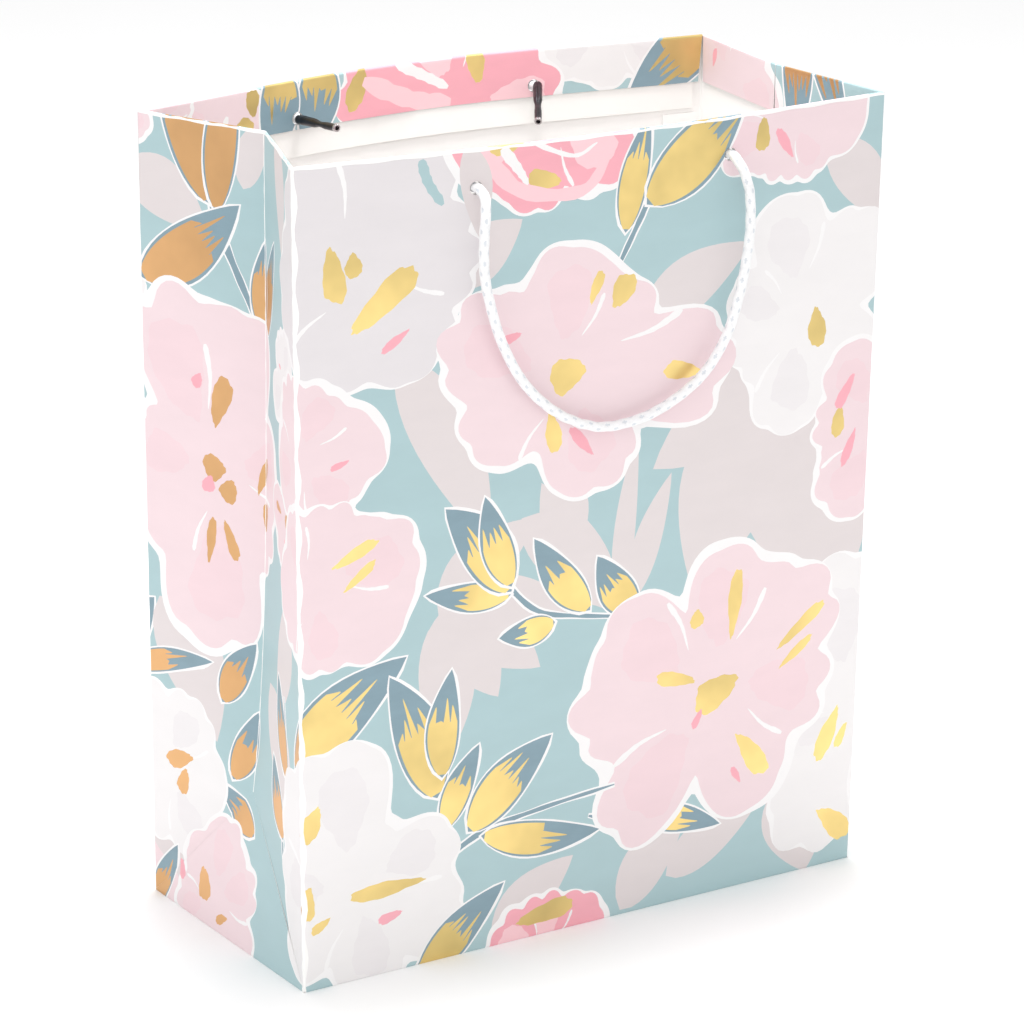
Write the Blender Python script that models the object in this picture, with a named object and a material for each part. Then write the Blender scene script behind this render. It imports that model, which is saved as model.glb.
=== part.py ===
"""Paper gift bag with two rope handles.

The bag stands on z = 0 with its front wall facing -Y and its width along X, and the origin is the
middle of its bottom. One sheet of printed paper makes the walls, the gussets, the turned-in hems
and the bottom flaps. Cards stiffen the mouth and the bottom. Each handle is a cord that two
metal barbs hold behind punched holes.
"""
import math

import bmesh
import bpy
from mathutils import Matrix, Vector

# Driving dimensions, in metres.
WIDTH = 0.260
DEPTH = 0.120
HEIGHT = 0.324
PAPER = 0.0004
CARD = 0.0006
BASE_CARD = 0.0008
GAP = 0.0003

WALLS = {"front": -1, "back": 1}
SIDES = {"left": -1, "right": 1}

# The mouth's corners at the rim (x, y): the standing bag has opened, and its walls lean a little.
RIM_CORNERS = {
    ("front", "left"): (-0.1300, -0.0550),
    ("front", "right"): (0.1320, -0.0650),
    ("back", "left"): (-0.1335, 0.0570),
    ("back", "right"): (0.1330, 0.0610),
}
WALL_BOW = {"front": 0.008, "back": 0.018}  # how far the middle of the rim bows outwards
BOW_POWER = {"front": 1.0, "back": 1.25}  # above 1, the bow gathers in the middle of the wall
BOW_RISE = 1.6  # the bow grows with this power of the height
CREASE_IN = {"left": 0.0225, "right": 0.0070}  # how far a gusset's centre crease is drawn in
CREASE_RISE = 0.071  # the height in which most of that happens

CORNER_MARGIN = 0.0013  # a gusset half starts this far from its corner edge
CREASE_CLEARANCE = {"left": 0.0032, "right": 0.0048}  # and ends this far from the open crease
HALF_BOTTOM = 0.0085
FOOT_BOTTOM = 0.0035
FOOT_MARGIN = 0.0015

HEM = 0.0195
RIM_CARD = 0.0305
RIM_MARGIN = 0.0008
WALL_HEM_MARGIN = 0.0050
GUSSET_HEM_MARGIN = 0.0062
SEAM_FLAP = (0.003, 0.018)  # start and end of the glued flap, from the rear right corner

HOLE_X = 0.056
HOLE_Z = 0.309
HOLE_RADIUS = 0.0026
CORD_RADIUS = 0.0021
CORD_STANDOFF = 0.006  # the cord turns down this far outside the wall
CORD_LEAN = math.radians(1.7)  # the loop hangs back towards the wall
CORD_STEP = 0.0095
BARB_STANDOFF = 0.0026
BARB_PROFILE = (  # radius and distance along the barb
    (0.0016, 0.0000),
    (0.0019, 0.0005),
    (0.0019, 0.0118),
    (0.0012, 0.0138),
    (0.0012, 0.0165),
    (0.0014, 0.0185),
    (0.0014, 0.0270),
    (0.0008, 0.0282),
)
BARB_HEADING = {  # the way each barb points at rest
    ("front", "left"): (0.20, 0.94, -0.28),
    ("front", "right"): (-0.15, 0.90, -0.42),
    ("back", "left"): (0.00, -0.99, 0.08),
    ("back", "right"): (-0.51, -0.81, -0.29),
}

# Route of the hanging loop: distance from the middle, and drop below the holes.
LOOP_ROUTE = (
    (-0.0560, 0.0000),
    (-0.0572, 0.0080),
    (-0.0577, 0.0180),
    (-0.0570, 0.0290),
    (-0.0545, 0.0410),
    (-0.0482, 0.0585),
    (-0.0375, 0.0765),
    (-0.0235, 0.0900),
    (-0.0080, 0.0982),
    (0.0060, 0.1003),
    (0.0240, 0.0970),
    (0.0420, 0.0868),
    (0.0525, 0.0725),
    (0.0580, 0.0545),
    (0.0608, 0.0340),
    (0.0605, 0.0200),
    (0.0585, 0.0090),
    (0.0560, 0.0000),
)


def make_material(name, colour, roughness, metallic=0.0):
    material = bpy.data.materials.new(name)
    material.use_nodes = True
    shader = material.node_tree.nodes["Principled BSDF"]
    shader.inputs["Base Color"].default_value = (*colour, 1)
    shader.inputs["Roughness"].default_value = roughness
    shader.inputs["Metallic"].default_value = metallic
    return material


def make_pivot(name, location, parent=None):
    """Empty on a joint's axis, at a world position."""
    pivot = bpy.data.objects.new(name, None)
    bpy.context.collection.objects.link(pivot)
    pivot.empty_display_size = 0.01
    pivot.parent = parent
    pivot.location = Vector(location)
    if parent:
        pivot.location -= parent.matrix_world.translation
    bpy.context.view_layer.update()
    return pivot


def attach(obj, pivot):
    """Hang an object that was made in world coordinates on a pivot."""
    if pivot:
        obj.data.transform(Matrix.Translation(-pivot.matrix_world.translation))
        obj.parent = pivot


def finish(mesh, name, material, pivot=None, smooth=False):
    """Turn a bmesh into a named object with its material."""
    bmesh.ops.recalc_face_normals(mesh, faces=mesh.faces)
    data = bpy.data.meshes.new(name)
    mesh.to_mesh(data)
    mesh.free()
    if smooth:
        data.shade_smooth()
        data.set_sharp_from_angle(angle=math.radians(35))
    obj = bpy.data.objects.new(name, data)
    bpy.context.collection.objects.link(obj)
    if material:
        data.materials.append(material)
    attach(obj, pivot)
    return obj


def spread(low, high, count, power=1.0):
    """Values from low to high; a power above 1 crowds them towards low."""
    return [low + (high - low) * (i / count) ** power for i in range(count + 1)]


def corner(wall, side, z):
    """Point at height z on the upright edge between a wall and a gusset."""
    bottom = Vector((SIDES[side] * WIDTH / 2, WALLS[wall] * DEPTH / 2, 0))
    rim = Vector((*RIM_CORNERS[wall, side], HEIGHT))
    return bottom.lerp(rim, z / HEIGHT)


def wall_point(wall, along, z, inset=0.0):
    """Point on a wall: along goes from 0 at the left to 1 at the right, inset goes into the bag."""
    point = corner(wall, "left", z).lerp(corner(wall, "right", z), along)
    across = math.sin(math.pi * along) ** BOW_POWER[wall]
    bow = WALL_BOW[wall] * across * (z / HEIGHT) ** BOW_RISE
    point.y += WALLS[wall] * (bow - inset)
    return point


def crease(side, z):
    """Point on a gusset's centre crease."""
    point = (corner("front", side, z) + corner("back", side, z)) / 2
    point.x -= SIDES[side] * CREASE_IN[side] * (1 - math.exp(-z / CREASE_RISE))
    return point


def half_edge(wall, side, z):
    """Inner edge of a gusset half: the centre crease, and below it the diagonal crease."""
    peak = DEPTH / 2
    if z >= peak:
        return crease(side, z)
    return corner(wall, side, 0).lerp(crease(side, peak), z / peak)


def gusset_point(wall, side, margin, end, share, z, inset):
    """Point on a gusset half, at a share of the way from its corner margin to its inner end."""
    start = corner(wall, side, z)
    run = half_edge(wall, side, z) - start
    direction = run.normalized()
    inward = Vector((direction.y, -direction.x, 0))
    if inward.x * SIDES[side] > 0:
        inward.negate()
    distance = margin + (run.length - end - margin) * share
    return start + direction * distance + inward * inset


def slab(name, surface, columns, rows, near, far, material, pivot):
    """Closed sheet between two insets of surface(column, row, inset)."""
    mesh = bmesh.new()
    layers = [
        [[mesh.verts.new(surface(u, v, inset)) for u in columns] for v in rows]
        for inset in (near, far)
    ]
    for layer in layers:
        for lower, upper in zip(layer, layer[1:]):
            for i in range(len(columns) - 1):
                mesh.faces.new((lower[i], lower[i + 1], upper[i + 1], upper[i]))
    rings = []
    for layer in layers:
        right = [row[-1] for row in layer[1:-1]]
        left = [row[0] for row in layer[1:-1]]
        rings.append([*layer[0], *right, *reversed(layer[-1]), *reversed(left)])
    for i in range(len(rings[0])):
        mesh.faces.new((rings[0][i - 1], rings[0][i], rings[1][i], rings[1][i - 1]))
    return finish(mesh, name, material, pivot)


def plate(name, outline, bottom, thickness, material, corner_radius=0.0):
    """Flat sheet of a given outline, lying parallel to the floor."""
    mesh = bmesh.new()
    face = mesh.faces.new([mesh.verts.new((x, y, bottom)) for x, y in outline])
    extruded = bmesh.ops.extrude_face_region(mesh, geom=[face])
    top = [v for v in extruded["geom"] if isinstance(v, bmesh.types.BMVert)]
    bmesh.ops.translate(mesh, verts=top, vec=(0, 0, thickness))
    if corner_radius:
        upright = [e for e in mesh.edges if abs(e.verts[0].co.z - e.verts[1].co.z) > thickness / 2]
        bmesh.ops.bevel(
            mesh, geom=upright, offset=corner_radius, segments=4, profile=0.5, affect="EDGES"
        )
    return finish(mesh, name, material)


def add_rod(mesh, start, end, radius, segments=12):
    """Closed cylinder between two points."""
    start, end = Vector(start), Vector(end)
    turn = (end - start).to_track_quat("Z", "Y").to_matrix().to_4x4()
    bmesh.ops.create_cone(
        mesh,
        cap_ends=True,
        segments=segments,
        radius1=radius,
        radius2=radius,
        depth=(end - start).length,
        matrix=Matrix.Translation((start + end) / 2) @ turn,
    )


def smooth_route(points, step):
    """Points about a step apart on the smooth curve through a route's points."""
    points = [Vector(p) for p in points]
    padded = [2 * points[0] - points[1], *points, 2 * points[-1] - points[-2]]
    route = [points[0]]
    for a, b, c, d in zip(padded, padded[1:], padded[2:], padded[3:]):
        count = max(1, round((c - b).length / step))
        for i in range(1, count + 1):
            t = i / count
            route.append(
                0.5 * (2 * b + (c - a) * t + (2 * a - 5 * b + 4 * c - d) * t * t
                       + (3 * b - a - 3 * c + d) * t ** 3)
            )
    return route


def hole_place(wall, side, inset=0.0):
    """Point at a punched hole, at an inset from the wall's outer face."""
    along = 0.5 + SIDES[side] * HOLE_X / WIDTH
    point = wall_point(wall, along, HOLE_Z, inset)
    point.x = SIDES[side] * HOLE_X
    return point


def punch(obj, cutter):
    """Cut the handle's holes through a sheet."""
    cut = obj.modifiers.new("handle_holes", "BOOLEAN")
    cut.operation = "DIFFERENCE"
    cut.solver = "EXACT"
    cut.object = cutter


def make_wall(wall, pivot, looks):
    """Wall, its rim card and its turned-in hem, each punched for the handle."""
    mesh = bmesh.new()
    for side in SIDES:
        centre = hole_place(wall, side)
        reach = Vector((0, 0.012, 0))
        add_rod(mesh, centre - reach, centre + reach, HOLE_RADIUS, 16)
    cutter = finish(mesh, f"{wall}_hole_cutter", None, pivot)
    cutter.hide_render = True
    cutter.display_type = "WIRE"

    card_at = PAPER + GAP
    hem_at = card_at + CARD + GAP
    inner_edge = WALL_HEM_MARGIN / WIDTH
    trimmed = spread(inner_edge, 1 - inner_edge, 14)
    sheets = (
        (f"{wall}_panel", spread(0, 1, 14), spread(0, HEIGHT, 8), 0, PAPER, "print"),
        (f"{wall}_rim_card", trimmed, spread(HEIGHT - RIM_CARD, HEIGHT - 2 * RIM_MARGIN, 2),
         card_at, card_at + CARD, "card"),
        (f"{wall}_hem", trimmed, spread(HEIGHT - HEM, HEIGHT - RIM_MARGIN, 2),
         hem_at, hem_at + PAPER, "hem"),
    )
    for name, columns, rows, near, far, look in sheets:
        sheet = slab(
            name, lambda u, z, d: wall_point(wall, u, z, d), columns, rows, near, far,
            looks[look], pivot,
        )
        punch(sheet, cutter)


def make_seam_flap(pivot, looks):
    """Glued flap that closes the sheet, inside the back wall along the rear right corner."""
    start, end = (1 - reach / WIDTH for reach in SEAM_FLAP)
    slab(
        "side_seam_flap",
        lambda u, z, d: wall_point("back", u, z, d),
        spread(end, start, 2),
        spread(HALF_BOTTOM, HEIGHT - RIM_CARD - 0.002, 6),
        PAPER + GAP, 2 * PAPER + GAP, looks["paper"], pivot,
    )


def make_gusset_half(wall, side, pivot, looks):
    """Half of a gusset, from a corner edge to the centre crease, and its hem."""
    clearance = CREASE_CLEARANCE[side]
    name = f"{side}_gusset_{wall}"
    slab(
        name,
        lambda u, z, d: gusset_point(wall, side, CORNER_MARGIN, clearance, u, z, d),
        spread(0, 1, 4),
        spread(HALF_BOTTOM, HEIGHT, 10, 1.5),
        0, PAPER, looks["print"], pivot,
    )
    slab(
        f"{name}_hem",
        lambda u, z, d: gusset_point(
            wall, side, GUSSET_HEM_MARGIN, clearance + GAP, u, z, d
        ),
        spread(0, 1, 4),
        spread(HEIGHT - HEM, HEIGHT - RIM_MARGIN, 2),
        PAPER + GAP, 2 * PAPER + GAP, looks["hem"], pivot,
    )


def make_gusset_foot(side, pivot, looks):
    """Triangle between a gusset's two diagonal creases, which stands on the bottom edge."""
    peak = DEPTH / 2

    def foot_point(share, z, inset):
        middle = Vector((SIDES[side] * WIDTH / 2, 0, 0)).lerp(crease(side, peak), z / peak)
        middle.y += (2 * share - 1) * (peak - z - FOOT_MARGIN)
        middle.x -= SIDES[side] * inset
        return middle

    top = peak - 2 * FOOT_MARGIN
    slab(
        f"{side}_gusset_foot", foot_point, spread(0, 1, 4), spread(FOOT_BOTTOM, top, 4),
        0, PAPER, looks["print"], pivot,
    )


def make_bottom(looks):
    """Bottom flaps, folded in from the sides, the front and the back, and the loose card on them."""
    edge = 0.0008
    half_width = WIDTH / 2 - edge
    half_depth = DEPTH / 2 - edge
    taper = 0.014

    def flap_across(start, end):
        near, far = half_width, half_width - taper
        return ((-near, start), (near, start), (far, end), (-far, end))

    level = 0.0
    plate("bottom_flap_back", flap_across(half_depth, -0.030), level, PAPER, looks["print"])
    level += PAPER + GAP
    plate("bottom_flap_front", flap_across(-half_depth, 0.010), level, PAPER, looks["print"])
    level += PAPER + GAP
    for side, sign in SIDES.items():
        start, end = sign * half_width, sign * (half_width - 0.065)
        outline = ((start, -half_depth), (start, half_depth), (end, half_depth - taper),
                   (end, -half_depth + taper))
        plate(f"bottom_flap_{side}", outline, level, PAPER, looks["paper"])
    level += PAPER + GAP
    x, y = WIDTH / 2 - 0.0027, DEPTH / 2 - 0.0022
    outline = ((-x, -y), (x, -y), (x, y), (-x, y))
    plate("base_card", outline, level, BASE_CARD, looks["card"], corner_radius=0.004)


def make_handle(wall, wall_pivot, looks):
    """Cord loop on its swing axis, and the two short lengths that pass through the wall."""
    out = WALLS[wall]
    turns = {
        side: hole_place(wall, side) + Vector((0, out * CORD_STANDOFF, 0)) for side in SIDES
    }
    middle = (turns["left"] + turns["right"]) / 2
    along = (turns["right"] - turns["left"]).normalized()
    down = Vector((0, -out * math.sin(CORD_LEAN), -math.cos(CORD_LEAN)))
    pivot = make_pivot(f"{wall}_handle_pivot", middle, wall_pivot)

    curve = bpy.data.curves.new(f"{wall}_handle_cord", "CURVE")
    curve.dimensions = "3D"
    curve.bevel_depth = CORD_RADIUS
    curve.bevel_resolution = 2
    curve.use_fill_caps = True
    route = smooth_route([along * x + down * drop for x, drop in LOOP_ROUTE], CORD_STEP)
    spline = curve.splines.new("POLY")
    spline.points.add(len(route) - 1)
    for point, place in zip(spline.points, route):
        point.co = (*place, 1)
    curve.materials.append(looks["cord"])
    loop = bpy.data.objects.new(curve.name, curve)
    bpy.context.collection.objects.link(loop)
    loop.parent = pivot

    for side, turn in turns.items():
        inner = hole_place(wall, side, 2 * PAPER + CARD + 2 * GAP + 0.0003)
        outer = turn - Vector((0, out * (CORD_RADIUS + 2 * GAP), 0))
        mesh = bmesh.new()
        add_rod(mesh, inner, outer, CORD_RADIUS)
        finish(mesh, f"{wall}_cord_end_{side}", looks["cord"], wall_pivot, smooth=True)


def make_barb(wall, side, wall_pivot, looks):
    """Metal barb crimped on a cord's end, inside the wall at its hole."""
    place = hole_place(wall, side, 2 * PAPER + CARD + 2 * GAP + BARB_STANDOFF)
    pivot = make_pivot(f"{wall}_barb_{side}_pivot", place, wall_pivot)
    heading = Vector(BARB_HEADING[wall, side]).normalized()
    turn = heading.to_track_quat("Z", "Y").to_matrix().to_4x4()
    mesh = bmesh.new()
    segments = 12
    rings = []
    for radius, distance in BARB_PROFILE:
        ring = bmesh.ops.create_circle(
            mesh, segments=segments, radius=radius, matrix=Matrix.Translation((0, 0, distance))
        )
        rings.append(ring["verts"])
    for lower, upper in zip(rings, rings[1:]):
        for i in range(segments):
            mesh.faces.new((lower[i - 1], lower[i], upper[i], upper[i - 1]))
    mesh.faces.new(rings[0])
    mesh.faces.new(rings[-1])
    mesh.transform(Matrix.Translation(place) @ turn)
    finish(mesh, f"{wall}_barb_{side}", looks["metal"], pivot, smooth=True)


def main():
    for obj in list(bpy.data.objects):
        bpy.data.objects.remove(obj, do_unlink=True)
    looks = {
        "print": make_material("printed_paper", (0.60, 0.72, 0.74), 0.45),
        "paper": make_material("white_paper", (0.86, 0.86, 0.84), 0.60),
        "hem": make_material("hem_paper", (0.93, 0.80, 0.82), 0.45),
        "card": make_material("white_card", (0.84, 0.82, 0.78), 0.75),
        "cord": make_material("white_cord", (0.88, 0.88, 0.88), 0.80),
        "metal": make_material("gunmetal", (0.16, 0.16, 0.17), 0.35, 1.0),
    }
    make_bottom(looks)
    for wall in WALLS:
        hinge = make_pivot(f"{wall}_wall_hinge", (0, WALLS[wall] * DEPTH / 2, 0))
        make_wall(wall, hinge, looks)
        if wall == "back":
            make_seam_flap(hinge, looks)
        for side in SIDES:
            edge = make_pivot(f"{side}_gusset_{wall}_hinge", corner(wall, side, 0), hinge)
            make_gusset_half(wall, side, edge, looks)
            make_barb(wall, side, hinge, looks)
        make_handle(wall, hinge, looks)
    for side in SIDES:
        edge = make_pivot(f"{side}_gusset_foot_hinge", (SIDES[side] * WIDTH / 2, 0, 0))
        make_gusset_foot(side, edge, looks)


main()
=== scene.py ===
"""Looks of the floral gift bag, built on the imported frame.

The bag's paper is one flat printed sheet. Its floral print is drawn once on the flat sheet, in
millimetres, and each panel takes its own window of it, so the print runs on round the corners and
over the rim into the hem. Every panel is then bent to the shape that it has in the frame.
"""
import math

import bmesh
import bpy
import numpy as np
from mathutils import Matrix, Vector
from mathutils.geometry import delaunay_2d_cdt


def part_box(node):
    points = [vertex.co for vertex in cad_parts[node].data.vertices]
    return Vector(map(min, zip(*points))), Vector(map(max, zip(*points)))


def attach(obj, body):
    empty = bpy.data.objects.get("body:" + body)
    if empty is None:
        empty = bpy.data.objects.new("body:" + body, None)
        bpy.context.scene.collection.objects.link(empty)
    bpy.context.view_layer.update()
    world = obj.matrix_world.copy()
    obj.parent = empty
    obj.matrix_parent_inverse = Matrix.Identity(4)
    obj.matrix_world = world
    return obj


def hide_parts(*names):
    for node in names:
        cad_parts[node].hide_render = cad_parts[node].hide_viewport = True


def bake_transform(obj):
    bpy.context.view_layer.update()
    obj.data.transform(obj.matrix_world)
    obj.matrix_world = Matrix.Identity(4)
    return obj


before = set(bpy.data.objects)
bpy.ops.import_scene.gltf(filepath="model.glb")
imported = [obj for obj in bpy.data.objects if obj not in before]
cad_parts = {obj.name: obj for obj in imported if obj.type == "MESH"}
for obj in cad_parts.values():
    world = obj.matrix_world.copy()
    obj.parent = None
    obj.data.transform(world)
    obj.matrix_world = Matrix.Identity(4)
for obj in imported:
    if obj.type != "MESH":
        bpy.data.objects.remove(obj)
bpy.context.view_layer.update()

MM = 0.001

# ---------------------------------------------------------------- sizes, as in the frame
FLAP_INSET = 0.0016  # how much narrower the bottom flaps are than the bag
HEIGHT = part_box("front_panel")[1].z
DEPTH = 2 * max(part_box("bottom_flap_left")[1].y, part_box("base_card")[1].y) + FLAP_INSET
WIDTH = 2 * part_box("bottom_flap_back")[1].x + FLAP_INSET
PAPER = 0.0004
RIM_STACK = 0.0020  # panel, card and hem together
GUSSET_STACK = 0.0011  # panel and hem
HEM = 0.0195

WALLS = {"front": -1, "back": 1}
SIDES = {"left": -1, "right": 1}
RIM_CORNERS = {
    ("front", "left"): (-0.1300, -0.0550),
    ("front", "right"): (0.1320, -0.0650),
    ("back", "left"): (-0.1335, 0.0570),
    ("back", "right"): (0.1330, 0.0610),
}
WALL_BOW = {"front": 0.008, "back": 0.018}
BOW_POWER = {"front": 1.0, "back": 1.25}
BOW_RISE = 1.6
CREASE_IN = {"left": 0.0225, "right": 0.0070}
CREASE_RISE = 0.071
HOLE_X = 0.056
HOLE_Z = 0.309
HOLE_RADIUS = 0.0026
CORD_RADIUS = 0.0021

# The flat sheet, in millimetres: back wall, left gusset, front wall, right gusset.
W_MM, D_MM, H_MM = 260, 120, 324
SHEET_X = {"back": 0, "left": 260, "front": 380, "right": 640}
CORNER_ROUND = 0.0012
CORNER_DRAW = 0.00032
RIPPLE = 0.00012
RIPPLE_EDGE = 0.02  # width along the creases in which the ripple fades out


# ---------------------------------------------------------------- shape of the standing bag
def corner(wall, side, z):
    """Point at height z on the upright edge between a wall and a gusset."""
    bottom = Vector((SIDES[side] * WIDTH / 2, WALLS[wall] * DEPTH / 2, 0))
    rim = Vector((*RIM_CORNERS[wall, side], HEIGHT))
    return bottom.lerp(rim, z / HEIGHT)


def wall_point(wall, along, z, inset=0.0):
    """Point on a wall: along goes from 0 at x- to 1 at x+, inset goes into the bag."""
    point = corner(wall, "left", z).lerp(corner(wall, "right", z), along)
    across = math.sin(math.pi * min(1, max(0, along))) ** BOW_POWER[wall]
    bow = WALL_BOW[wall] * across * (max(z, 0) / HEIGHT) ** BOW_RISE
    point.y += WALLS[wall] * (bow - inset)
    return point


def crease(side, z):
    """Point on a gusset's centre crease."""
    point = (corner("front", side, z) + corner("back", side, z)) / 2
    point.x -= SIDES[side] * CREASE_IN[side] * (1 - math.exp(-z / CREASE_RISE))
    return point


def hole_place(wall, side, inset=0.0):
    """Point at a punched hole, at an inset from the wall's outer face."""
    point = wall_point(wall, 0.5 + SIDES[side] * HOLE_X / WIDTH, HOLE_Z, inset)
    point.x = SIDES[side] * HOLE_X
    return point


def fold_over(v, radius, depth):
    """Height and inset of the sheet at length v up it, once its top is folded inwards.

    depth is how far the point lies below the printed face, inside the folded paper.
    """
    turn = HEIGHT - radius
    arc = math.pi * radius
    if v <= turn:
        return v, depth
    if v < turn + arc:
        angle = (v - turn) / radius
        reach = radius - depth
        return turn + reach * math.sin(angle), radius - reach * math.cos(angle)
    return turn - (v - turn - arc), 2 * radius - depth


def edge_draw(distance):
    """How far the paper draws in near a creased edge, so that the crease is softly rounded."""
    return CORNER_DRAW * max(0.0, 1 - distance / CORNER_ROUND) ** 2


def corner_draw(wall, side, z, distance):
    """Shift of a point near a corner crease, the same from the wall as from the gusset."""
    inward = gusset_frame(wall, side, z)[3]
    return (Vector((0, -WALLS[wall], 0)) + inward) * edge_draw(distance)


def ripple(a, b):
    """The slight waviness of handled paper, in metres, from two lengths in metres."""
    return RIPPLE * (math.sin(31 * a + 17 * b + 0.6) + 0.7 * math.sin(-23 * a + 41 * b + 2.1)
                     + 0.5 * math.sin(57 * a - 29 * b))


def wall_sheet_point(wall, x_mm, v_mm, depth):
    """Place of a point of the flat sheet on a wall; depth 0 is the printed face."""
    u = (x_mm - SHEET_X[wall]) / W_MM
    along = u if wall == "front" else 1 - u
    z, inset = fold_over(v_mm * MM, RIM_STACK / 2, depth)
    edge = min(u, 1 - u) * WIDTH
    inset += edge_draw(z)
    fade = max(0, min(1, edge / RIPPLE_EDGE)) * min(1, z / RIPPLE_EDGE)
    point = wall_point(wall, along, z, inset + ripple(along * WIDTH, z) * fade)
    if edge < CORNER_ROUND:
        point += corner_draw(wall, "left" if along < 0.5 else "right", z, edge)
    return point


def gusset_frame(wall, side, z):
    """Corner point, direction to the crease, length per flat length, and inward direction."""
    peak = DEPTH / 2
    start = corner(wall, side, z)
    level = max(z, 0.0005)
    if level >= peak:
        end = crease(side, level)
    else:
        end = corner(wall, side, 0).lerp(crease(side, peak), level / peak)
    run = end - start
    run.z = 0
    direction = run.normalized()
    inward = Vector((direction.y, -direction.x, 0))
    if inward.x * SIDES[side] > 0:
        inward.negate()
    return start, direction, run.length / min(peak, level), inward


def gusset_sheet_point(wall, side, x_mm, v_mm, depth):
    """Place of a point of the flat sheet on a gusset half."""
    x = x_mm - SHEET_X[side]
    at_high_end = (side == "left") == (wall == "front")
    distance = (D_MM - x if at_high_end else x) * MM
    z, inset = fold_over(v_mm * MM, GUSSET_STACK / 2, depth)
    start, direction, stretch, inward = gusset_frame(wall, side, z)
    fade = min(1, distance / RIPPLE_EDGE) * min(1, (DEPTH / 2 - distance) / RIPPLE_EDGE)
    inset += 1.5 * ripple(distance, z) * max(0, fade)
    point = start + direction * distance * stretch + inward * inset
    if distance < CORNER_ROUND:
        point += corner_draw(wall, side, z, distance)
    return point


def foot_sheet_point(side, x_mm, v_mm, depth):
    """Place of a point of the flat sheet on the triangle under a gusset's diagonal creases."""
    peak = DEPTH / 2
    across = (x_mm - SHEET_X[side] - D_MM / 2) * MM
    towards_front = 1 if side == "left" else -1
    z = v_mm * MM
    point = Vector((SIDES[side] * WIDTH / 2, 0, 0)).lerp(crease(side, peak), z / peak)
    point.y -= towards_front * across
    point.x -= SIDES[side] * (depth + edge_draw(z))
    return point


# ---------------------------------------------------------------- drawing on the flat sheet
class Print:
    """A floral print on the flat sheet: inked outlines in painting order, in millimetres."""

    def __init__(self):
        self.shapes = []

    def add(self, ink, outline):
        self.shapes.append((ink, np.array(outline, float)))

    def edged(self, ink, outline, band):
        """An outline inside a band of ivory."""
        self.add("ivory", grown(outline, band))
        self.add(ink, outline)


def wobble(seed, t, waves=4):
    """A smooth random-looking value between about -1 and 1 for an angle t."""
    return sum(math.sin((k + 1) * t + seed * (1.7 + k) + k * k) / (k + 1.5) for k in range(waves))


def turned(points, origin, angle):
    """Points given along an axis and across it, turned by an angle in degrees and moved."""
    c, s = math.cos(math.radians(angle)), math.sin(math.radians(angle))
    return [(origin[0] + a * c - b * s, origin[1] + a * s + b * c) for a, b in points]


def grown(outline, width):
    """An outline moved outwards, by a little less where the brush was lifted."""
    p = np.array(outline, float)
    ahead, behind = np.roll(p, -1, axis=0), np.roll(p, 1, axis=0)
    along = ahead - behind
    along /= np.maximum(np.hypot(along[:, 0], along[:, 1]), 1e-6)[:, None]
    area = 0.5 * np.sum(p[:, 0] * ahead[:, 1] - ahead[:, 0] * p[:, 1])
    normal = np.stack([along[:, 1], -along[:, 0]], 1) * (1 if area > 0 else -1)
    n = np.arange(len(p))
    swell = 1 + 0.3 * np.sin(n * 0.37 + width * 9) + 0.2 * np.sin(n * 0.83 + 1)
    return p + normal * (width * swell)[:, None]


def bloom_edge(petals, seed, trim=0.0, narrow=1.0, scallop=0.045, steps=160):
    """Edge of a blossom round its heart, from its petals: (direction, length, half spread).

    Between the petals the edge falls back to a core; trim and narrow give the painted inner
    edge, which leaves an uneven ivory band inside the outer one.
    """
    t = np.arange(steps) * 360 / steps
    total = (narrow ** 2 * 0.62 * np.mean([p[1] for p in petals]) * np.ones(steps)) ** 9
    for direction, length, spread in petals:
        off = np.abs((t - direction + 180) % 360 - 180) / (1.16 * spread * narrow)
        total += (length * np.sqrt(np.clip(1.04 - 0.66 * off ** 2.6, 0, None))) ** 9
    radius = total ** (1 / 9)
    radians = np.radians(t)
    bumps = np.abs(np.sin(radians * 9 + seed)) ** 0.7 - 0.65
    bumps *= 1 + 0.8 * np.sin(2 * radians + 1.7 * seed)
    radius *= 1 + scallop * bumps + 0.016 * np.sin(5 * radians + 2.3 * seed)
    radius -= trim * (1 + 0.55 * np.sin(3 * radians + 2 * seed) + 0.35 * np.sin(7 * radians + seed))
    smooth = (np.roll(radius, 1) + 2 * radius + np.roll(radius, -1)) / 4
    return np.maximum(smooth, 2.0), radians


def touch(origin, direction, length, width, seed=0.0, steps=40):
    """A touch of the brush about its middle: broad where it starts, dragged to an uneven end."""
    points = []
    for i in range(steps):
        t = 2 * math.pi * i / steps
        jag = 1 + 0.10 * wobble(seed + 3, 2 * t, 3) + 0.04 * math.sin(11 * t + seed)
        half = width / 2 * math.sin(t) * (1 - 0.42 * math.cos(t))
        points.append((math.cos(t) * length / 2 * jag, half * jag))
    return turned(points, origin, direction)


def leaf_sides(length, width, bend, start=0.0, end=1.0, fill=1.0, steps=14):
    """Left and right sides of a pointed leaf between two shares of its length."""
    left, right = [], []
    for i in range(steps + 1):
        t = start + (end - start) * i / steps
        half = width / 2 * fill * math.sin(math.pi * t ** 0.78) ** 0.85 if 0 < t < 1 else 0.0
        middle = bend * (math.sin(math.pi * t) * 0.5 - 0.35 * t * t)
        left.append((t * length, middle + half))
        right.append((t * length, middle - half))
    return left, right


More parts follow.
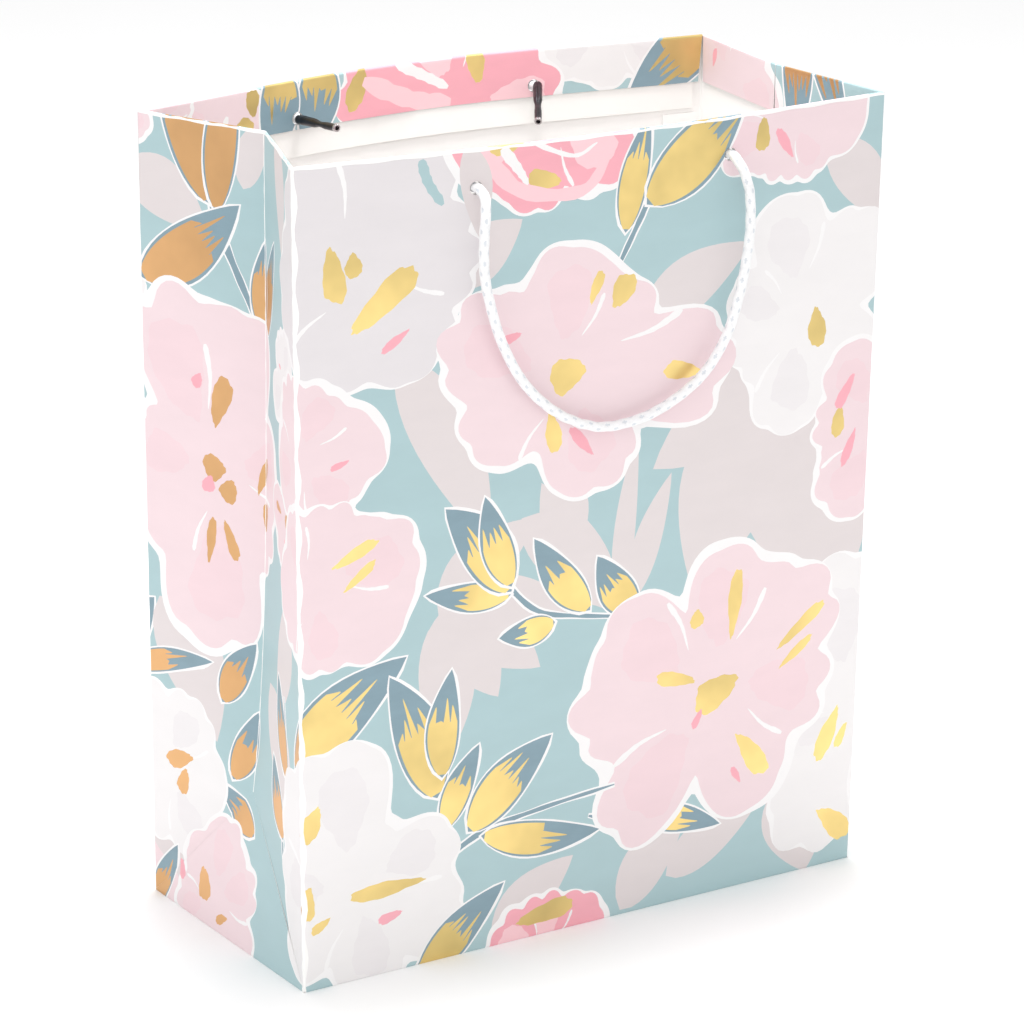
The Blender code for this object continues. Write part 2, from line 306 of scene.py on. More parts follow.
def smooth_curve(points, parts):
    """Points along the smooth curve through a few points, with parts steps from each to the next."""
    points = [Vector(p) for p in points]
    padded = [2 * points[0] - points[1], *points, 2 * points[-1] - points[-2]]
    line = []
    for a, b, c, d in zip(padded, padded[1:], padded[2:], padded[3:]):
        for i in range(parts):
            t = i / parts
            line.append(0.5 * (2 * b + (c - a) * t + (2 * a - 5 * b + 4 * c - d) * t * t
                               + (3 * b - a - 3 * c + d) * t ** 3))
    return line + [points[-1]]


def stroke(points, width, seed=0.0, taper=0.5):
    """A brush line of varying width along a smooth curve through a few points."""
    line = smooth_curve(points, 7)
    left, right = [], []
    for i, p in enumerate(line):
        ahead = line[min(i + 1, len(line) - 1)] - line[max(i - 1, 0)]
        side = Vector((-ahead.y, ahead.x)).normalized()
        share = i / (len(line) - 1)
        tip = min(1, (share + 0.02) / 0.12, (1.02 - share) / 0.12) ** 0.5
        half = width / 2 * tip * (1 - taper * share) * (1 + 0.12 * math.sin(30 * share + seed))
        left.append(p + side * half)
        right.append(p - side * half)
    return [tuple(p) for p in left + right[::-1]]


def draw_leaf(art, base, tip, width, seed, bend, gilt):
    """Slate leaf in an ivory edge, gilded from its base with a dry brush that ends in fingers."""
    run = Vector(tip) - Vector(base)
    angle = math.degrees(math.atan2(run.y, run.x))
    left, right = leaf_sides(run.length, width, bend)
    art.edged("slate", turned(left + right[-2:0:-1], base, angle), 0.9)
    left, right = leaf_sides(run.length, width, bend, 0.03, gilt, fill=0.88)
    fingers = 4 if width < 16 else 6
    (end, top), (_, bottom) = left[-1], right[-1]
    ragged = []
    for i in range(fingers):
        reach = run.length * (0.17 + 0.12 * math.sin(2.4 * i + seed) + 0.05 * math.sin(5 * seed + i))
        drag = 1 - 0.9 * abs((i + 0.5) / fingers - 0.5)
        for share, out in ((0.04, -0.03), (0.22, 0.45), (0.42, 0.93), (0.55, 1.0), (0.70, 0.8),
                           (0.86, 0.3), (0.97, -0.05)):
            across = top + (bottom - top) * (i + share) / fingers
            pull = 1 - 0.35 * out * drag
            middle = (top + bottom) / 2
            ragged.append((end + reach * drag * out, middle + (across - middle) * pull))
    art.add("gold", turned(left + ragged + right[::-1], base, angle))


def draw_blossom(art, centre, petals, seed, touches=(), ink="blush", shade="blushed", band=1.7):
    """Flat painted blossom in an uneven ivory band, with touches of foil and rose.

    A touch is (ink, x, z, direction, length, width), with x and z from the blossom's heart.
    """
    def place(edge):
        radius, turn = edge
        return np.stack([centre[0] + radius * np.cos(turn), centre[1] + radius * np.sin(turn)], 1)

    art.add("ivory", place(bloom_edge(petals, seed)))
    art.add(ink, place(bloom_edge(petals, seed, trim=band, narrow=0.94, scallop=0.085)))
    for i, (direction, length, spread) in enumerate(petals):
        if i % 2 == 0:
            middle = turned([(0.56 * length, 0)], centre, direction + 3)[0]
            art.add(shade, touch(middle, direction + 180, 0.52 * length, 0.36 * length, seed + i))
        edge = direction + spread * (0.92 if i % 2 else -0.92)
        split = [(0.74 * length, 0.02 * length), (0.55 * length, 0), (0.36 * length, 0.03 * length)]
        if (i + int(seed)) % 2 == 0:
            art.add("ivory", stroke(turned(split, centre, edge), length * 0.045, seed, 0.8))
    for i, (look, x, z, direction, length, width) in enumerate(touches):
        art.add(look, touch((centre[0] + x, centre[1] + z), direction, length, width, seed + i))


def draw_rosette(art, centre, radius, count, turn, seed, ink="blush", shade="blushed", gilt=True):
    """Blossom of a given number of petals, with its touches strewn round the heart."""
    petals = []
    for i in range(count):
        length = radius * (1 + 0.16 * math.sin(2.1 * seed + 2.7 * i))
        petals.append((turn + i * 360 / count + 9 * math.sin(seed * 3 + 2.1 * i), length,
                       190 / count + 6 * math.sin(seed + 1.9 * i)))
    foil = "gold" if gilt else shade
    unit = radius / 50
    touches = [(foil, 2 * unit, 1 * unit, 20 * seed, 16 * unit, 13 * unit),
               (foil, 13 * unit, 5 * unit, 30, 12 * unit, 8 * unit)]
    for i in range(3):
        direction = turn + (i * 2 + 0.1) * 360 / count
        away = (0.55 + 0.05 * i) * radius
        x, z = away * math.cos(math.radians(direction)), away * math.sin(math.radians(direction))
        touches.append((foil, x, z, direction + 180, (22 - 4 * i) * unit, (5.5 + i) * unit))
    for i in range(2):
        direction = turn + (i * 2 + 1.2) * 360 / count
        away = 0.42 * radius
        x, z = away * math.cos(math.radians(direction)), away * math.sin(math.radians(direction))
        touches.append(("rose", x, z, direction + 20, 10 * unit, 3 * unit))
    draw_blossom(art, centre, petals, seed, touches, ink, shade)


def draw_shadow_leaf(art, base, tip, width):
    """Plain leaf behind the others, with no edge."""
    run = Vector(tip) - Vector(base)
    left, right = leaf_sides(run.length, width, width * 0.2)
    art.add("taupe", turned(left + right[-2:0:-1], base, math.degrees(math.atan2(run.y, run.x))))


def draw_shadow_spray(art, base, directions, length, width):
    """Several plain leaves fanned out from one place."""
    for i, direction in enumerate(directions):
        reach = length * (1 - 0.13 * (i % 3))
        tip = (base[0] + reach * math.cos(math.radians(direction)),
               base[1] + reach * math.sin(math.radians(direction)))
        draw_shadow_leaf(art, base, tip, width)


def draw_sprig(art, stem, leaves, width=1.8, gilt=0.5):
    """Curved slate stem with leaves: each is (base, tip, width, bend)."""
    art.edged("slate", stroke(stem, width), 0.7)
    for i, (base, tip, leaf_width, bend) in enumerate(leaves):
        draw_leaf(art, base, tip, leaf_width, 1.3 + 2.2 * i + 0.1 * tip[0], bend, gilt)


# ---------------------------------------------------------------- the print's composition
def window(panel):
    """Turns a panel's own millimetres into the flat sheet's."""
    return lambda x, z: (SHEET_X[panel] + x, z)


def draw_front(art):
    at = window("front")
    for base, tip, width in (
        ((42, 247), (84, 168), 26), ((96, 176), (140, 132), 24), ((118, 192), (112, 146), 18),
        ((206, 216), (250, 108), 66), ((192, 206), (180, 132), 46), ((146, 244), (196, 274), 24),
        ((86, 0), (122, 32), 22), ((146, 2), (176, 40), 22), ((168, 12), (210, 34), 20),
        ((232, 308), (268, 270), 22), ((200, 182), (262, 150), 34), ((54, 130), (88, 144), 18),
        ((66, 272), (92, 296), 22), ((222, 40), (240, 0), 34), ((226, 238), (157, 184), 44),
        ((148, 134), (163, 184), 13), ((141, 128), (147, 204), 10), ((138, 134), (103, 188), 25),
    ):
        draw_shadow_leaf(art, at(*base), at(*tip), width)
    draw_shadow_spray(art, at(60, 142), (-4, -30, -52, -86, 40), 62, 25)
    draw_blossom(art, at(26, 282), [(8, 49, 36), (68, 60, 34), (128, 50, 36), (190, 52, 34),
        (248, 47, 34), (308, 50, 34)], 1.0, [("gold", -10, 0, 95, 21, 9), ("gold", -2, 3, 95, 9, 7),
        ("gold", 10, -12, 222, 36, 10), ("rose", 15, -28, 33, 14, 3.2)], ink="mist", shade="mist",
        band=0.9)
    art.add("aqua", stroke([at(51, 322), at(54, 313), at(60, 304)], 4.2, 1, 0.2))
    draw_blossom(art, at(101, 335), [(205, 42, 32), (262, 38, 34), (322, 44, 32), (20, 46, 34),
        (90, 44, 40), (160, 46, 30)], 2.0, [("gold", -15, -11, 8, 14, 7), ("gold", 1, -26, -8, 15, 7)],
        ink="rose", shade="petal", band=2.0)
    art.add("petal", stroke([at(76, 322), at(92, 306), at(118, 303), at(130, 316)], 7, 2))
    art.add("ivory", stroke([at(84, 323), at(91, 314), at(95, 308)], 5, 1, 0.6))
    art.add("ivory", stroke([at(96, 324), at(114, 317), at(124, 321)], 2.2, 3))
    draw_shadow_leaf(art, at(70, 326), at(76, 290), 13)
    draw_blossom(art, at(213, 319), [(190, 36, 34), (250, 25, 36), (302, 27, 34), (358, 38, 36),
        (60, 32, 40), (130, 34, 40)], 3.0, [("gold", -13, -4, 92, 14, 6), ("rose", -2, -9, -58, 15, 4)],
        band=1.3)
    draw_sprig(art, [at(150, 300), at(143, 286), at(134, 268), at(127, 252)],
        [(at(138, 284), at(146, 330), 13, 2), (at(147, 294), at(193, 334), 25, -3)], 2.6, 0.62)
    draw_blossom(art, at(222, 240), [(100, 50, 30), (36, 50, 32), (160, 36, 32), (215, 34, 34),
        (262, 48, 30), (322, 42, 36)], 4.0, [("gold", 9, -7, 94, 17, 8)], ink="white", shade="pearl",
        band=0.9)
    draw_blossom(art, at(264, 188), [(120, 40, 32), (175, 32, 34), (236, 42, 32), (300, 30, 40),
        (30, 30, 50)], 4.5, [("gold", -20, 4, 80, 13, 6), ("rose", -17, 16, 60, 15, 5),
        ("rose", -14, -8, 70, 16, 4)])
    draw_blossom(art, at(113, 230), [(84, 53, 33), (-4, 76, 25), (-68, 52, 33), (207, 48, 32),
        (152, 56, 33), (40, 48, 22)], 5.0, [("gold", 2, 1, 10, 15, 14), ("gold", 13, 34, 252, 13, 4.5),
        ("gold", 25, 31, 242, 15, 9), ("gold", 54, -5, -14, 17, 7), ("gold", -4, -21, 100, 16, 7),
        ("rose", -23, 19, 20, 8, 3.5), ("rose", 9, -27, -50, 17, 4)])
    draw_blossom(art, at(0, 212), [(60, 32, 36), (10, 38, 34), (-45, 32, 36), (120, 34, 40),
        (200, 34, 50)], 6.0, [("rose", 18, -3, 20, 8, 2.5)], band=2.6)
    draw_blossom(art, at(6, 162), [(10, 48, 32), (-36, 44, 30), (-80, 34, 32), (62, 34, 34),
        (120, 34, 38), (200, 36, 50)], 7.0, [("gold", 18, 11, 205, 22, 4.5),
        ("gold", 20, 2, 216, 17, 3.6)])
    draw_sprig(art, [at(88, 152), at(104, 137), at(126, 131), at(160, 125)],
        [(at(92, 146), at(54, 151), 12, 2), (at(92, 147), at(64, 186), 22, -5),
        (at(92, 149), at(79, 187), 14, 2), (at(128, 133), at(101, 166), 15, 3),
        (at(112, 131), at(87, 128), 12, 2), (at(150, 128), at(130, 154), 16, 3)], 2.4)
    draw_blossom(art, at(256, 68), [(98, 66, 26), (150, 34, 30), (200, 32, 34), (248, 62, 28),
        (300, 60, 30), (20, 50, 50)], 11.0, [("gold", -10, -10, 66, 25, 7),
        ("gold", -3, -12, 62, 11, 4), ("gold", -5, -50, 140, 20, 10)], ink="white", shade="pearl",
        band=0.9)
    draw_sprig(art, [at(130, 46), at(150, 40), at(172, 36)], [(at(154, 40), at(194, 30), 12, 2)])
    draw_blossom(art, at(188, 88), [(82, 62, 27), (38, 66, 27), (-8, 58, 32), (-66, 60, 30),
        (228, 70, 25), (182, 66, 24), (142, 64, 26)], 8.0,
        [("gold", 2, -1, 20, 22, 13), ("gold", 9, 35, 266, 27, 6.5), ("gold", 42, 20, 218, 28, 5),
        ("gold", 40, 9, 216, 20, 3.6), ("gold", -18, 8, -16, 19, 6), ("gold", 20, -31, 128, 23, 9),
        ("gold", -9, 32, 95, 8, 6), ("rose", -7, -11, 60, 9, 3), ("rose", 13, -39, -60, 8, 3)],
        band=2.6)
    draw_sprig(art, [at(66, 44), at(62, 58), at(62, 72)],
        [(at(-8, 88), at(45, 130), 25, 5), (at(-6, 82), at(22, 92), 13, -2),
        (at(60, 68), at(40, 122), 22, -4), (at(62, 76), at(65, 120), 15, 3),
        (at(63, 54), at(78, 87), 13, 2)], 2.6, 0.52)
    draw_sprig(art, [at(64, 42), at(82, 50), at(108, 54), at(142, 57)],
        [(at(74, 51), at(111, 85), 20, 3), (at(80, 48), at(135, 38), 15, -4)], 2.6, 0.52)
    draw_blossom(art, at(24, 38), [(96, 60, 26), (128, 60, 26), (17, 46, 26), (-30, 52, 26),
        (-80, 46, 30), (214, 46, 32), (168, 48, 30)], 9.0,
        [("gold", 14, -3, 2, 31, 6.5), ("rose", 15, -15, 15, 11, 4), ("gold", -20, 30, 60, 16, 8),
        ("gold", -22, -2, 80, 14, 7), ("gold", -16, -12, 30, 9, 4)], ink="white", shade="pearl",
        band=0.9)
    draw_sprig(art, [at(42, -18), at(52, -8), at(62, 2)], [(at(50, -10), at(90, 27), 17, 3)])
    draw_blossom(art, at(112, -12), [(90, 30, 34), (40, 32, 32), (140, 33, 32), (-10, 30, 40),
        (190, 30, 40), (270, 30, 60)], 10.0, [("gold", -2, 21, 190, 27, 8)], ink="rose", shade="petal",
        band=1.8)


def draw_left(art):
    at = window("left")
    for base, tip, width in (
        ((-8, 302), (34, 282), 24), ((86, 332), (98, 284), 20), ((30, 330), (38, 300), 10),
        ((6, 128), (40, 76), 34), ((74, 110), (108, 60), 26), ((100, 150), (88, 100), 22),
        ((-6, 38), (26, 8), 18), ((50, 300), (60, 330), 14),
    ):
        draw_shadow_leaf(art, at(*base), at(*tip), width)
    draw_rosette(art, at(-8, 334), 24, 5, 300, 12.0, gilt=False)
    draw_sprig(art, [at(34, 300), at(38, 284), at(48, 264), at(60, 242)],
        [(at(34, 292), at(10, 346), 21, -4), (at(37, 289), at(46, 352), 16, 3),
        (at(0, 258), at(49, 292), 23, -5), (at(62, 244), at(78, 286), 14, 3),
        (at(58, 246), at(60, 282), 10, 2)], 4.4, 0.6)
    draw_blossom(art, at(36, 186), [(112, 74, 25), (74, 68, 22), (172, 44, 34), (222, 50, 30),
        (268, 74, 28), (318, 44, 30), (12, 46, 34)], 13.0,
        [("gold", 2, 28, 255, 20, 9), ("gold", -1, 1, 10, 11, 10), ("gold", 6, -7, 60, 10, 8),
        ("gold", -3, -29, 262, 18, 4.5), ("gold", 7, -27, 115, 16, 5), ("gold", 23, 2, 250, 17, 4),
        ("gold", 25, -14, 265, 12, 4.5), ("rose", -9, 35, 60, 6, 5), ("rose", -4, -6, 80, 7, 6)],
        band=2.6)
    draw_rosette(art, at(98, 236), 22, 5, 60, 13.5, "white", "pearl", gilt=False)
    art.add("gold", touch(at(92, 214), 255, 22, 3, 2))
    draw_rosette(art, at(100, 182), 24, 5, 20, 13.8)
    draw_sprig(art, [at(-20, 88), at(4, 98), at(30, 104)],
        [(at(-14, 94), at(34, 108), 10, 3), (at(40, 92), at(56, 120), 14, 2)])
    draw_sprig(art, [at(104, 20), at(96, 52), at(101, 84), at(96, 112)],
        [(at(48, 62), at(60, 92), 14, -2), (at(97, 54), at(82, 84), 12, 2),
        (at(101, 80), at(86, 118), 12, 2), (at(66, 44), at(40, 58), 12, 2)])
    draw_blossom(art, at(10, 56), [(60, 36, 34), (0, 34, 34), (300, 36, 34), (120, 38, 34),
        (180, 36, 34), (240, 34, 34)], 14.0, [("gold", 7, 6, 20, 16, 7), ("gold", 9, -3, 70, 12, 6)],
        ink="white", shade="pearl", band=0.9)
    draw_sprig(art, [at(-8, -16), at(2, -6)], [(at(0, -8), at(14, 24), 11, 1)])
    draw_blossom(art, at(44, 10), [(84, 36, 32), (140, 30, 30), (30, 34, 30), (330, 38, 32),
        (200, 28, 40), (270, 34, 40)], 15.0, [("gold", -8, 5, 115, 14, 8), ("gold", 9, -4, 20, 8, 4),
        ("rose", -26, 5, 120, 8, 4)])


def draw_right(art):
    at = window("right")
    for base, tip, width in (
        ((10, 300), (50, 262), 26), ((90, 210), (60, 160), 30), ((20, 150), (44, 96), 26),
        ((100, 90), (74, 40), 28), ((108, 300), (84, 268), 20), ((6, 20), (36, 2), 20),
    ):
        draw_shadow_leaf(art, at(*base), at(*tip), width)
    draw_shadow_spray(art, at(92, 206), (-150, -110, -70, 170), 54, 22)
    draw_blossom(art, at(96, 342), [(180, 40, 30), (235, 42, 30), (290, 38, 32), (350, 40, 36),
        (60, 36, 40), (120, 38, 34)], 21.0, [("rose", 12, -10, 80, 8, 3), ("gold", 2, -26, 95, 12, 6)],
        band=2.2)
    draw_sprig(art, [at(52, 300), at(44, 284), at(40, 262)],
        [(at(50, 296), at(47, 358), 17, 3), (at(42, 292), at(18, 352), 15, -3),
        (at(42, 274), at(74, 298), 15, 3)], 2.6)
    draw_rosette(art, at(64, 232), 50, 5, 15, 22.0, "white", "pearl")
    draw_sprig(art, [at(12, 190), at(30, 172), at(56, 160), at(84, 152)],
        [(at(28, 174), at(6, 206), 17, 3), (at(50, 162), at(34, 130), 15, -2),
        (at(78, 154), at(104, 188), 18, 2)], 2.4)
    draw_rosette(art, at(84, 104), 48, 6, 70, 23.0)
    draw_rosette(art, at(22, 50), 36, 5, 25, 24.0, "rose", "petal")
    draw_sprig(art, [at(60, 6), at(80, 20), at(104, 26)],
        [(at(62, 10), at(92, 46), 16, 2), (at(84, 22), at(120, 8), 13, -2)])


def draw_back(art):
    at = window("back")
    for base, tip, width in (
        ((20, 300), (64, 262), 30), ((120, 250), (156, 204), 34), ((214, 236), (244, 176), 34),
        ((30, 190), (52, 138), 34), ((110, 130), (150, 84), 36), ((230, 120), (206, 60), 34),
        ((66, 60), (96, 14), 30), ((150, 320), (176, 284), 24), ((8, 70), (30, 20), 26),
        ((176, 40), (204, 6), 24), ((140, 176), (176, 150), 26),
    ):
        draw_shadow_leaf(art, at(*base), at(*tip), width)
    draw_shadow_spray(art, at(150, 232), (-60, -100, -140, -20), 66, 26)
    draw_blossom(art, at(42, 320), [(20, 30, 36), (80, 24, 36), (150, 30, 34), (210, 26, 36),
        (280, 28, 40), (330, 28, 30)], 30.0, [("gold", 0, -2, 10, 11, 8)], ink="white", shade="pearl",
        band=0.9)
    draw_sprig(art, [at(40, 304), at(52, 284), at(60, 262)],
        [(at(-12, 316), at(38, 356), 24, -4), (at(48, 292), at(82, 312), 17, 3),
        (at(52, 286), at(22, 268), 16, 2)], 2.4)
    draw_blossom(art, at(108, 346), [(180, 46, 30), (232, 46, 28), (290, 48, 28), (345, 56, 28),
        (40, 40, 34), (110, 36, 40)], 31.0, [("gold", -8, -16, 95, 13, 8),
        ("gold", 47, -14, 250, 19, 8), ("gold", 6, -34, 120, 16, 8)], ink="rose", shade="petal",
        band=2.2)
    art.add("ivory", stroke([at(136, 325), at(124, 331), at(113, 337)], 5, 1, 0.3))
    art.add("petal", stroke([at(152, 330), at(130, 340), at(112, 343)], 8, 2, 0.2))
    draw_blossom(art, at(240, 378), [(180, 60, 34), (225, 64, 34), (270, 66, 30), (315, 60, 40)], 32.0,
        band=1.4)
    for x, v, direction, length, width in ((206, 331, 95, 11, 6), (212, 341, 20, 12, 8)):
        art.add("gold", touch(at(x, v), direction, length, width, x))
    draw_sprig(art, [at(176, 292), at(182, 312), at(186, 326)],
        [(at(172, 316), at(180, 356), 20, 4), (at(192, 316), at(198, 358), 19, 4),
        (at(180, 304), at(156, 318), 15, 2)], 2.4, 0.34)
    draw_rosette(art, at(92, 234), 60, 5, 50, 33.0)
    draw_rosette(art, at(208, 246), 52, 6, 120, 34.0, "white", "pearl")
    draw_rosette(art, at(16, 196), 38, 5, 80, 35.0, "white", "pearl")
    draw_sprig(art, [at(122, 176), at(140, 164), at(166, 158), at(192, 160)],
        [(at(136, 166), at(110, 194), 20, 3), (at(150, 160), at(142, 122), 17, 2),
        (at(172, 158), at(160, 194), 16, -2), (at(186, 160), at(218, 186), 20, 3)], 2.4)
    draw_rosette(art, at(66, 110), 64, 6, 95, 36.0)
    draw_rosette(art, at(186, 94), 46, 5, 10, 37.0, "rose", "petal")
    draw_sprig(art, [at(256, 150), at(240, 126), at(236, 100), at(242, 74)],
        [(at(240, 126), at(212, 152), 19, 3), (at(237, 100), at(264, 126), 18, -3),
        (at(238, 88), at(214, 60), 18, 2)], 2.4)
    draw_rosette(art, at(124, 20), 48, 5, 60, 38.0, "white", "pearl")
    draw_rosette(art, at(234, 20), 44, 5, 140, 39.0)
    draw_sprig(art, [at(20, 2), at(40, 18), at(48, 40)],
        [(at(34, 12), at(2, 38), 18, 2), (at(46, 28), at(76, 52), 18, 3)], 2.4)


def wear_and_highlight_line(art, start, end, width):
    """White where the printed face has cracked along a fold: uneven on both its sides; where it is drawn
    wide, it is also a painted highlight along the crease.
    """
    run = Vector(end) - Vector(start)
    steps = max(2, round(run.length / 4))
    side = Vector((-run.y, run.x)).normalized()
    there, back = [], []
    for i in range(steps + 1):
        place = Vector(start) + run * i / steps
        there.append(tuple(place + side * width * (0.5 + 0.22 * math.sin(3.7 * i + start[0]))))
        back.append(tuple(place - side * width * (0.5 + 0.22 * math.sin(5.1 * i + start[1] + 2))))
    art.add("wear_and_highlight", there + back[::-1])


def compose():
    """The whole print; the corner creases and the rim fold show a thin worn white line, widened at the
    front's left corner into a painted highlight along that crease.
    """
    art = Print()
    draw_right(art)
    draw_back(art)
    draw_left(art)
    draw_front(art)
    # At x 380, the front's left corner, the line is 3.2 mm wide: a painted highlight on the rounded
    # crease over the worn print.
    for x, width in ((0, 0.8), (260, 0.8), (380, 3.2), (640, 0.7), (760, 0.8)):
        wear_and_highlight_line(art, (x, -2), (x, 325), width)
    for x in (320, 700):
        wear_and_highlight_line(art, (x, D_MM / 2), (x, 325), 0.5)
    for x0, length in ((0, W_MM), (260, D_MM), (380, W_MM), (640, D_MM)):
        wear_and_highlight_line(art, (x0, 323.3), (x0 + length, 323.3), 1.0)
    return art


# ---------------------------------------------------------------- objects
def placed(name, data):
    """New object in the scene."""
    made = bpy.data.objects.new(name, data)
    bpy.context.collection.objects.link(made)
    return made


def tube_faces(rings, ring):
    """Faces of a tube whose points come as rings of the same number, with both ends closed."""
    faces = []
    for i in range(rings - 1):
        for k in range(ring):
            m = (k + 1) % ring
            faces.append((i * ring + k, i * ring + m, (i + 1) * ring + m, (i + 1) * ring + k))
    faces.append(tuple(range(ring))[::-1])
    faces.append(tuple((rings - 1) * ring + k for k in range(ring)))
    return faces


def tube(name, verts, ring, looks, sharp):
    """Mesh of a closed tube, smooth but for edges sharper than an angle in degrees."""
    mesh = bpy.data.meshes.new(name)
    mesh.from_pydata(verts, [], tube_faces(len(verts) // ring, ring))
    mesh.shade_smooth()
    mesh.set_sharp_from_angle(angle=math.radians(sharp))
    for look in looks:
        mesh.materials.append(look)
    return mesh


# ---------------------------------------------------------------- bending the sheet into panels
def inside(points, outline):
    """Which points lie inside an outline."""
    a, b = outline, np.roll(outline, -1, axis=0)
    low, high = outline.min(0), outline.max(0)
    found = np.zeros(len(points), bool)
    near = np.where(((points >= low) & (points <= high)).all(1))[0]
    if not len(near):
        return found
    p = points[near]
    odd = np.zeros(len(near), bool)
    for (x0, y0), (x1, y1) in zip(a, b):
        if y0 == y1:
            continue
        crosses = (y0 > p[:, 1]) != (y1 > p[:, 1])
        odd ^= crosses & (p[:, 0] < (x1 - x0) * (p[:, 1] - y0) / (y1 - y0) + x0)
    found[near] = odd
    return found


def circle(x, z, radius, steps=20):
    """Outline of a punched hole on the flat sheet."""
    turns = (2 * math.pi * i / steps for i in range(steps))
    return [(x + radius * math.cos(t), z + radius * math.sin(t)) for t in turns]


def sheet_normal(place, x, v, step=0.25):
    """Direction in which the printed face looks, from how the sheet is bent around a point."""
    across = place(x + step, v, 0.0) - place(x - step, v, 0.0)
    up = place(x, v + step, 0.0) - place(x, v - step, 0.0)
    return across.cross(up).normalized()


def bent_sheet(name, art, domain, columns, rows, place, looks, holes, lines):
    """Closed sheet of paper: printed outer face, white inner face and cut edges.

    domain is the panel's outline on the flat sheet, columns and rows are where the sheet needs
    points to bend, lines are the columns and rows along which it creases, and
    place(x, v, depth) puts a point of the flat sheet where it is on the bag.
    """
    domain = np.array(domain, float)
    low, high = domain.min(0) - 0.5, domain.max(0) + 0.5
    used = [(ink, o) for ink, o in art.shapes if (o.max(0) > low).all() and (o.min(0) < high).all()]
    verts, edges = [], []

    def add_outline(outline):
        first = len(verts)
        verts.extend(Vector((float(x), float(z))) for x, z in outline)
        count = len(verts) - first
        edges.extend((first + i, first + (i + 1) % count) for i in range(count))

    def add_line(start, end):
        edges.append((len(verts), len(verts) + 1))
        verts.extend((Vector(start), Vector(end)))

    for x in lines[0]:
        add_line((x, low[1]), (x, high[1]))
    for v in lines[1]:
        add_line((low[0], v), (high[0], v))
    add_outline(domain)
    for hole in holes:
        add_outline(hole)
    for _, outline in used:
        add_outline(outline)
    grid = np.array([(x, z) for z in rows for x in columns], float)
    verts.extend(Vector(p) for p in grid[inside(grid, domain)].tolist())
    flat, _, faces, *_ = delaunay_2d_cdt(verts, edges, [], 0, 1e-4)
    flat = np.array([tuple(v) for v in flat])
    faces = np.array(faces, int)
    middle = flat[faces].mean(1)
    keep = inside(middle, domain)
    for hole in holes:
        keep &= ~inside(middle, np.array(hole))
    faces, middle = faces[keep], middle[keep]
    inks = list(looks)
    ink_of = np.full(len(faces), inks.index("aqua"))
    for ink, outline in used:
        ink_of[inside(middle, outline)] = inks.index(ink)
    paper = inks.index("paper")

    numbers, faces = np.unique(faces, return_inverse=True)
    faces = faces.reshape(-1, 3)
    flat = flat[numbers]
    count = len(flat)
    front = [place(x, v, 0.0) for x, v in flat.tolist()]
    behind = [place(x, v, PAPER) for x, v in flat.tolist()]
    every = np.sort(np.concatenate([faces[:, [0, 1]], faces[:, [1, 2]], faces[:, [2, 0]]]), axis=1)
    pairs, times = np.unique(every, axis=0, return_counts=True)
    rim = {tuple(p) for p in pairs[times == 1].tolist()}
    walls = []
    for f in faces.tolist():
        for a, b in ((f[0], f[1]), (f[1], f[2]), (f[2], f[0])):
            if (min(a, b), max(a, b)) in rim:
                walls.append((b, a, a + count, b + count))
    mesh = bpy.data.meshes.new(name)
    polygons = faces.tolist() + (faces[:, ::-1] + count).tolist() + walls
    mesh.from_pydata(front + behind, [], polygons)
    indices = np.concatenate([ink_of, np.full(len(faces) + len(walls), paper)])
    for look in looks.values():
        mesh.materials.append(look)
    mesh.polygons.foreach_set("material_index", indices.astype(np.int32))
    obj = placed(name, mesh)
    tidy = bmesh.new()
    tidy.from_mesh(mesh)
    bmesh.ops.recalc_face_normals(tidy, faces=tidy.faces)
    tidy.to_mesh(mesh)
    tidy.free()
    mesh.shade_smooth()
    outward = [sheet_normal(place, x, v) for x, v in flat.tolist()]
    mesh.normals_split_custom_set_from_vertices(outward + [-n for n in outward])
    return obj


def span(low, high, step):
    """Evenly spread values from low to high, about a step apart."""
    count = max(1, round((high - low) / step))
    return [low + (high - low) * i / count for i in range(count + 1)]


EDGE_STEPS = [0.25, 0.6, 1.2]  # lines close to a creased edge, where the paper is rounded


def edge_lines(low, high):
    """Columns close to both upright edges of a panel."""
    return [low + n for n in EDGE_STEPS] + [high - n for n in EDGE_STEPS]


def hem_end(radius_mm):
    """Length up the sheet at which the hem ends, once it is folded with a radius at the rim."""
    return H_MM - radius_mm + math.pi * radius_mm + HEM / MM - radius_mm


def fold_lines(radius_mm):
    """Rows across the paper where it turns over at the rim, and one just before the turn."""
    turn = H_MM - radius_mm
    arc = math.pi * radius_mm
    return [turn - 0.6] + [turn + arc * i / 8 for i in range(9)]


# ---------------------------------------------------------------- materials
def linear(rgb):
    """Linear colour of an sRGB one given in levels of 255."""
    return [(c / 255 / 12.92 if c / 255 <= 0.04045 else ((c / 255 + 0.055) / 1.055) ** 2.4) for c in rgb]


def node(tree, kind, **inputs):
    """New shader node with some of its sockets set."""
    made = tree.nodes.new(kind)
    for name, value in inputs.items():
        made.inputs[name.replace("_", " ")].default_value = value
    return made


